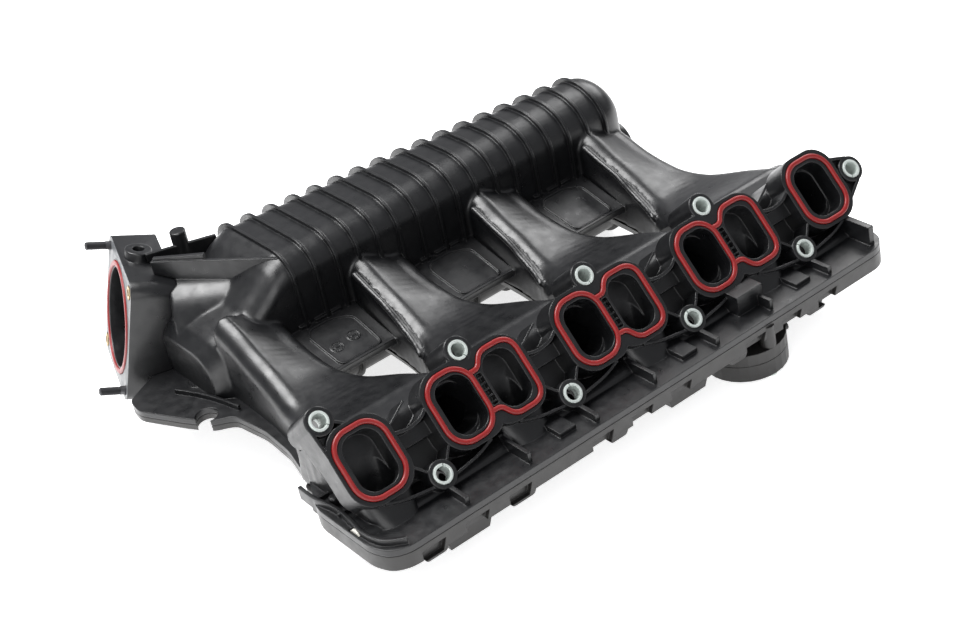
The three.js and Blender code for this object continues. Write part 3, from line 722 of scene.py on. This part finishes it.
# ------------------------------------------------------------------ cuts that both mouldings share
def inlet_seat():
    """Room for the separate inlet flange."""
    side = 2 * INLET_HALF + 1
    return moved(prism(rounded_box(side, side, 10), -INLET_DEPTH - 0.3, 1), INLET)


def clip_notch():
    """Round notch in the edge of the side plate."""
    return prism(arc(-197, 166, 7.5, 0, 345, 23), -60, -20)


def lever_well():
    """Room for the lever to swing in."""
    return block(81, 95, -23.2, 0.3, -60, -22)


def shaft_bore():
    """Way for the flap shaft, closed at its left end."""
    return moved(disc(6.6, -203.5, 145), Matrix.Translation((0, SHAFT_Y, WELD_Z)) @ ALONG_X)


# ------------------------------------------------------------------ upper moulding
def build_upper():
    inner_floor = WELD_Z - 1
    organic = [plenum_upper(0, WELD_Z), gallery(), elbow(WALL, -INLET_DEPTH)]
    organic += [runner(cx, 0, WELD_Z) for cx in CYLINDERS]
    organic += [runner_ridge(cx) for cx in CYLINDERS[1:]]
    organic += [odd_duct(x, WALL + 1, -4, WELD_Z) for x in ODD]
    organic.append(moved(disc(17.2, -6, 20, 0, 0, 3), Matrix.Translation((154, 190, -20)) @ ALONG_X))
    skin = melted(make("upper_moulding", *organic), 1.25, 7, keep=0.45)

    crisp = plenum_ribs() + web_plates() + web_details() + inlet_webs() + side_details()
    crisp += [moved(f, FLANGE) for f in flange_pads()]
    crisp.append(prism(lip_outline(), WELD_Z - 0.5, WELD_Z + 4.5))
    crisp.append(prism(rounded(SIDE_PLATE, 5), WELD_Z - 0.5, WELD_Z + 4))
    crisp += base_ribs()
    crisp += shaft_housing()
    crisp += [on_web(BOUNDARIES[0], f) for f in dial(-15, 18) + dial(-1, 20)]
    boolean(skin, union("crisp", crisp), "UNION")

    inner = [plenum_upper(-WALL, inner_floor), elbow(0, 1)]
    inner += [runner(cx, WALL, inner_floor) for cx in CYLINDERS]
    inner += [block(cx - 45, cx + 45, 18, 50, inner_floor, -14) for cx in CYLINDERS]
    inner += [odd_duct(x, 0, -6, inner_floor) for x in ODD]
    inner += [even_duct(x, 0, -6) for x in EVEN]
    for x, width in port_openings():
        inner.append(moved(prism(rounded_box(width, 35, 9.5, x, 0, 10), -14, 4), FLANGE))
    inner.append(inlet_seat())
    inner.append(clip_notch())
    inner.append(lever_well())
    inner.append(block(-260, 260, -80, 360, -140, WELD_Z + 0.15))
    inner.append(shaft_bore())
    boolean(skin, union("inner", inner), "DIFFERENCE")
    boolean(skin, moved_union("face_cuts", flange_cuts(), FLANGE), "DIFFERENCE")
    rungs = moved_union("rungs", ladder_rungs(), FLANGE)
    boolean(skin, rungs, "UNION")
    return shaded(skin)


def moved_union(name, forms, matrix):
    return union(name, [moved(f, matrix) for f in forms])


def base_ribs():
    """Upright ribs on the shelf below the ports."""
    forms = []
    for x in CYLINDERS:
        forms.append(block(x - 1.5, x + 1.5, -38, -8, WELD_Z, -28))
    for x in BOUNDARIES:
        forms.append(block(x - 3, x - 0.6, -37, -6, WELD_Z, -26))
        forms.append(block(x + 24, x + 36, -33, -12, WELD_Z, -30))
    forms.append(block(EVEN[3] + 6, EVEN[3] + 10, -36, 4, WELD_Z, -20))
    # pocket frame to the left of the first port
    rim = [(-202, 50), (-202.5, 34), (-199, 20), (-199, 5), (-202, -15), (-199, -30), (-188, -38)]
    forms.append(ribbon(rounded(rim, 9, 5, closed=False), 2.2, WELD_Z, -29))
    for y in (-12, 12, 34):
        forms.append(block(-201, -188, y - 1, y + 1, WELD_Z, -30.5))
    forms.append(moved(disc(3, 0, 10, 0, 0, 1), Matrix.Translation((-195, 24, WELD_Z))))
    return forms


def shaft_housing():
    """Raised rail over the flap shaft, and the taller box over the lever."""
    rail = rounded([(-18, WELD_Z), (-18, -32), (-13, -29.6), (-1, -29.6), (4, -32), (4, WELD_Z)], 2.5)
    rows = [[(x, y, z) for y, z in rail] for x in (-201, 196)]
    return [loft(rows), block(77.5, 98.5, -26.5, 3.5, WELD_Z, -19.5)]


def inlet_webs():
    """Stiffening webs between the inlet, its elbow and the plenum."""
    forms = []

    def upright(a, b, z0, z1, thickness=2.6):
        side = (Vector(b) - Vector(a)).normalized().orthogonal() * thickness / 2
        low = [Vector(a) + side, Vector(b) + side, Vector(b) - side, Vector(a) - side]
        rings = [[(*p, z0) for p in low], [(*p, z) for p, z in zip(low, (z1[0], z1[1], z1[1], z1[0]))]]
        forms.append(loft(rings))

    upright((-170, 245.7), (-117, 174.5), -12, (36.5, 38))
    upright((-168, 246), (-146, 217), 10, (38, 40.5), 3)
    upright((-166, 262), (-120, 250), 0, (34, 30), 2.6)
    upright((-172, 243), (-177.5, 184), WELD_Z, (12, WELD_Z + 8), 2.8)
    upright((-154.5, 229), (-160, 170), -30, (22, -2), 2.8)
    upright((-131, 214), (-140, 166), -30, (28, 6), 2.4)
    forms.append(moved(disc(5.4, 0, 41, 0, 0, 0.8), Matrix.Translation((-141.5, 258.4, 0))))
    return forms


def side_details():
    """Arc rib and a round mark on the side plate."""
    top = WELD_Z + 4
    arc_path = [(-197, 204), (-190, 190), (-184.5, 174), (-180, 153)]
    forms = [ribbon(rounded(arc_path, 20, 6, closed=False), 2.0, top - 1, top + 3.4)]
    for cx, cy, radius in ((-179, 204, 8), (-158, 150, 8)):
        ring = arc(cx, cy, radius, 0, 345, 23)
        if cy > 200:
            forms.append(ribbon(ring + ring[:1], 0.5, top - 1, top + 0.35))
    return forms


upper_moulding = build_upper()
finish(upper_moulding, NYLON, replaced=("upper_shell", "port_flange"))


# ------------------------------------------------------------------ lower moulding
def plenum_lower_ring(x, inset, tuck, rise):
    t = min(1.0, max(0.0, (x - PLENUM["x0"]) / (PLENUM["x1"] - PLENUM["x0"])))
    back = lerp(PLENUM["back_left"], PLENUM["back_right"], t) - inset - tuck
    front = PLENUM["front"] + inset + tuck
    floor = -74 + inset + rise
    top = WELD_Z + (1 if inset > 0 else -0.15)
    corners = [(front, top), (front, floor + 12), (front + 16, floor), (back - 20, floor), (back, floor + 16),
               (back, top)]
    soft = [corners[0]] + rounded(corners, 14, 6, closed=False)[1:-1] + [corners[-1]]
    return [(x, y, z) for y, z in soft]


def lower_left(inset):
    return loft([plenum_lower_ring(-184 + inset, inset, 12, 24), plenum_lower_ring(-172, inset, 7, 14),
                 plenum_lower_ring(-158, inset, 3, 7), plenum_lower_ring(-130, inset, 0, 0)])


def lower_trough(inset):
    ends = [(-136 + inset, 0, 0), (148 - inset, 0, 0)]
    if inset == 0:
        ends += [(154, 3, 3), (158, 7, 7), (160, 11, 11)]
    return loft([plenum_lower_ring(x, inset, tuck, rise) for x, tuck, rise in ends])


def runner_floor(cx, inset):
    rings = []
    for y, shift, half, _, _ in eased_stations(RUNNER):
        w, x = half - inset, cx + shift
        floor, top = WELD_Z - 12 + inset, WELD_Z + (1 if inset > 0 else -0.15)
        side = [(x - w, top), (x - w + 3, floor + 5), (x - w + 8, floor), (x + w - 8, floor),
                (x + w - 3, floor + 5), (x + w, top)]
        rings.append([(px, y, pz) for px, pz in side])
    return loft(rings)


def lip_pockets():
    """Slanted pockets along the front of the lip, all of one depth, every fourth one left out."""
    cuts = []
    for k in range(13):
        x = -176 + k * PITCH / 3.1
        if k % 4 == 3:
            continue
        outline = [(x - 7, -49), (x + 7, -49), (x + 10, WELD_Z - 4), (x - 7, WELD_Z - 4)]
        cuts.append(loft([[(px, y, pz) for px, pz in outline] for y in (-50, LIP_FRONT + 3.2)]))
    return cuts


def bracket(x):
    """A hollow box foot under the front lip, open below."""
    width = 38
    outer = loft([[(x + d, -36 + e, z), (x + width - d, -36 + e, z), (x + width - d, -6, z), (x + d, -6, z)]
                  for z, d, e in ((-59.9, 5, 3), (WELD_Z - 4, 0, 0))])
    return outer, block(x + 7, x + width - 7, -31, -8.5, -70, WELD_Z - 12)


def build_lower():
    top = WELD_Z - 0.15
    parts = [prism(lip_outline(), WELD_Z - 10, top), prism(rounded(SIDE_PLATE, 5), WELD_Z - 4, top),
             lower_left(0), lower_trough(0)]
    cuts = [lower_trough(WALL), lower_left(WALL), lever_well()]
    cuts.append(inlet_seat())
    cuts.append(clip_notch())
    cuts.append(shaft_bore())
    cuts += lip_pockets()
    for cx in CYLINDERS:
        mouth = cx + RUNNER_SHIFT
        parts.append(runner_floor(cx, 0))
        cuts += [runner_floor(cx, WALL), block(mouth - 20, mouth + 20, 155, 175, -46, WELD_Z + 1),
                 block(cx - 45, cx + 45, 18, 66, WELD_Z - 4, WELD_Z + 1)]
    for x in ODD:
        well = [(x - 17, SHAFT_Y - 18), (x + 17, SHAFT_Y - 18), (x + 17, 60), (x - 17, 60)]
        parts.append(prism(rounded(well, 6), -54.5, top))
        cuts.append(block(x - 13.5, x + 13.5, SHAFT_Y - 14.5, 56, -51.5, WELD_Z + 1))
    for x in (-165, 5):
        outer, hollow = bracket(x)
        parts.append(outer)
        cuts.append(hollow)
    for x, size in ((-174, 7), (-111, 8), (-38, 6), (60, 6), (128, 7)):
        wide = size + 5
        lobe = [(x - size, -50.5), (x + size, -50.5), (x + wide, WELD_Z - 3), (x - wide, WELD_Z - 3)]
        ends = (LIP_FRONT + 0.2, LIP_FRONT + 10)
        parts.append(loft([[(px, y, pz) for px, pz in rounded(lobe, 2)] for y in ends]))
    for k in (1, 2, 3):
        cx, cy, _ = centre(f"actuator_screw_{k}")
        parts.append(disc(5, -54.7, WELD_Z - 2, cx, cy))
        cuts.append(disc(1.9, -56, -46, cx, cy))
    # cooling ribs under the plenum
    for j in range(0, RIB_COUNT, 2):
        x = RIB_LAST - j * RIB_PITCH
        if x > -130:
            under = [plenum_lower_ring(e, -1.8, 0, 0) for e in (x - 1, x + 1)]
            parts.append(loft(under))
    body = union("lower_moulding", parts)
    boolean(body, union("lower_cuts", cuts), "DIFFERENCE")
    boolean(body, moved_union("tunnels", bolt_tunnels(), FLANGE), "DIFFERENCE")
    boolean(body, make("above", block(-260, 260, -80, 360, top, 60)), "DIFFERENCE")
    return shaded(body)


lower_moulding = build_lower()
finish(lower_moulding, NYLON_LOW, replaced=("lower_shell",))


# ------------------------------------------------------------------ inlet flange
STUD_SPAN = 35.5


def build_inlet():
    plate = union("inlet_block", [
        prism(rounded_box(2 * INLET_HALF, 2 * INLET_HALF, 10, 0, 0, 10), -INLET_DEPTH, -0.2),
        turned([(33.0, -2), (38.6, -2), (38.6, 0.0), (33.0, 0.0)], 96),
        moved(disc(8.8, INLET_HALF - 4, INLET_HALF + 6.5, 0, 0, 0.8), Matrix.Translation((0, 0, -12)) @
              Matrix.Rotation(-math.pi / 2, 4, "X")),
    ])
    cuts = [disc(INLET_BORE, -40, 3, 0, 0, sides=96),
            turned([(33.6, -3.2), (37.9, -3.2), (37.9, 4), (33.6, 4)], 96),
            moved(disc(4, INLET_HALF - 8, INLET_HALF + 9), Matrix.Translation((0, 0, -12)) @
                  Matrix.Rotation(-math.pi / 2, 4, "X"))]
    for a, b in ((-1, 1), (1, -1)):
        cuts.append(disc(3.3, -16, 3, a * STUD_SPAN, b * STUD_SPAN))
        cuts.append(disc(4.8, -12, 3, a * STUD_SPAN, -b * STUD_SPAN))
    boolean(plate, union("inlet_cuts", cuts), "DIFFERENCE")
    plate.data.transform(Matrix.Translation(INLET.translation * MM) @ INLET.to_3x3().to_4x4())
    return shaded(bevelled(plate, 0.6, 2))


inlet_flange = build_inlet()
finish(inlet_flange, NYLON, replaced=("inlet_flange",))
inlet_flange.data.materials.append(NYLON_FACE)
for polygon in inlet_flange.data.polygons:
    place = INLET.inverted() @ (Vector(polygon.center) / MM)
    if place.z > -1.0:
        polygon.material_index = 1


# ------------------------------------------------------------------ seals and metal pieces
for index, group in enumerate(SEAL_GROUPS):
    seal = moved_union(f"port_gasket_{index + 1}", seal_forms(group, 0, -2.1, SEAL_PROUD), FLANGE)
    finish(shaded(seal, 50), SILICONE, replaced=(f"port_seal_{index + 1}",))

ring_profile = [(33.9, -2.8), (37.5, -2.8), (37.5, 0.3)]
ring_profile += [(35.7 + 1.8 * math.cos(a), 0.3 + 0.85 * math.sin(a)) for a in
                 (math.radians(15 * k) for k in range(1, 12))] + [(33.9, 0.3)]
inlet_gasket = make("inlet_gasket", moved(turned(ring_profile, 128), INLET))
finish(shaded(inlet_gasket, 50), SILICONE, replaced=("inlet_seal",))


def sleeve(name, x, u, length, slit_angle):
    """A rolled steel sleeve: a slit tube with rounded ends."""
    top, chamfer = 0.75, 0.5
    profile = [(4.3 + chamfer, -length), (6.1 - chamfer, -length), (6.1, -length + chamfer),
               (6.1, top - chamfer), (6.1 - chamfer * 0.3, top - chamfer * 0.3), (6.1 - chamfer, top),
               (4.3 + chamfer, top), (4.3 + chamfer * 0.3, top - chamfer * 0.3), (4.3, top - chamfer),
               (4.3, -length + chamfer)]
    tube_piece = make(name, turned(profile, 64))
    cut = make(name + "_slit", moved(block(0, 9, -0.35, 0.35, -60, 9), Matrix.Rotation(slit_angle, 4, "Z")))
    boolean(tube_piece, cut, "DIFFERENCE")
    tube_piece.data.transform(FLANGE @ Matrix.Translation((x * MM, u * MM, 0)))
    return shaded(tube_piece)


for index, (x, u) in enumerate(zip(UPPER_BOLTS, UPPER_RISE)):
    piece = sleeve(f"upper_bush_{index + 1}", x, u, 16, math.radians(-50 - 17 * index))
    finish(piece, ZINC, replaced=(f"upper_sleeve_{index + 1}",))
for index, x in enumerate(CYLINDERS):
    piece = sleeve(f"lower_bush_{index + 1}", x, -BOLT_ROW, 8, math.radians(60 + 23 * index))
    finish(piece, ZINC, replaced=(f"lower_sleeve_{index + 1}",))


def stud(name, a, b):
    """A stud with rolled thread on its free end."""
    profile = [(0.01, -14.9), (2.9, -14.9), (2.9, 3)]
    z = 3.0
    while z < 15.6:
        profile += [(2.95, z + 0.25), (2.5, z + 0.6)]
        z += 0.7
    profile += [(2.4, 16.3), (1.9, 16.9), (0.01, 16.9)]
    return shaded(make(name, moved(turned(profile, 32), INLET @ Matrix.Translation((a, b, 0)))), 60)


for index, (a, b) in enumerate(((-1, 1), (1, -1))):
    piece = stud(f"threaded_stud_{index + 1}", a * STUD_SPAN, b * STUD_SPAN)
    finish(piece, DARK_STEEL, replaced=(f"inlet_stud_{index + 1}",))

# ------------------------------------------------------------------ finishes of the CAD nodes that stay
KEPT = {
    "inlet_insert": BRASS, "flap_shaft": STEEL, "swirl_flap": STEEL, "flap_screw": ZINC, "shaft_bush": ACETAL,
    "shaft_lever": STEEL, "actuator_rod": STEEL, "actuator_can": NYLON_LOW, "actuator_cover": NYLON_LOW,
    "return_spring": STEEL, "actuator_screw": ZINC,
}
for node_name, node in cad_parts.items():
    for start, kept_material in KEPT.items():
        if node_name.startswith(start):
            node.data.materials.clear()
            node.data.materials.append(kept_material)


# ------------------------------------------------------------------ floor, lights and camera
def soft_light(name, place, target, size, power, colour=(1, 1, 1)):
    data = bpy.data.lights.new(name, "AREA")
    data.shape = "DISK"
    data.size = size
    data.energy = power
    data.color = colour
    lamp = bpy.data.objects.new(name, data)
    lamp.location = place
    lamp.rotation_euler = (Vector(target) - Vector(place)).to_track_quat("-Z", "Y").to_euler()
    bpy.context.collection.objects.link(lamp)


floor_z = cad_box[0][2] - 0.0005
floor_form = block(-4000, 4000, -4000, 4000, floor_z / MM - 4, floor_z / MM)
floor = make("floor", floor_form)
pale = material("pale_floor", (0.86, 0.86, 0.86), 0.7, vary=0.01, grain=0.0)
pale.node_tree.nodes["Principled BSDF"].inputs["Emission Color"].default_value = (1, 1, 1, 1)
pale.node_tree.nodes["Principled BSDF"].inputs["Emission Strength"].default_value = 0.75
floor.data.materials.append(pale)

middle = (-0.02, 0.1, -0.02)
soft_light("key", (-0.35, 0.55, 1.25), middle, 0.9, 34)
soft_light("fill", (-0.9, -1.0, 0.7), middle, 1.2, 9)
soft_light("rim", (0.95, 0.5, 0.75), middle, 0.8, 9)

world = bpy.data.worlds.new("studio")
world.use_nodes = True
world.node_tree.nodes["Background"].inputs["Color"].default_value = (0.95, 0.96, 1.0, 1)
world.node_tree.nodes["Background"].inputs["Strength"].default_value = 0.42
bpy.context.scene.world = world
bpy.context.scene.view_settings.view_transform = "Standard"

AZIMUTH, ELEVATION, ROLL = math.radians(-31.55), math.radians(32.0), math.radians(-12.29)
DISTANCE = 1.1976
TARGET = Vector((-0.04265, 0.07549, -0.010))
camera_data = bpy.data.cameras.new("camera")
camera_data.lens = 72.74
camera_data.sensor_width = 36
camera = bpy.data.objects.new("camera", camera_data)
back = Vector((math.sin(AZIMUTH) * math.cos(ELEVATION), -math.cos(AZIMUTH) * math.cos(ELEVATION),
               math.sin(ELEVATION)))
level = back.to_track_quat("Z", "Y").to_matrix().to_4x4()
camera.matrix_world = Matrix.Translation(TARGET + back * DISTANCE) @ level @ Matrix.Rotation(ROLL, 4, "Z")
bpy.context.collection.objects.link(camera)
bpy.context.scene.camera = camera
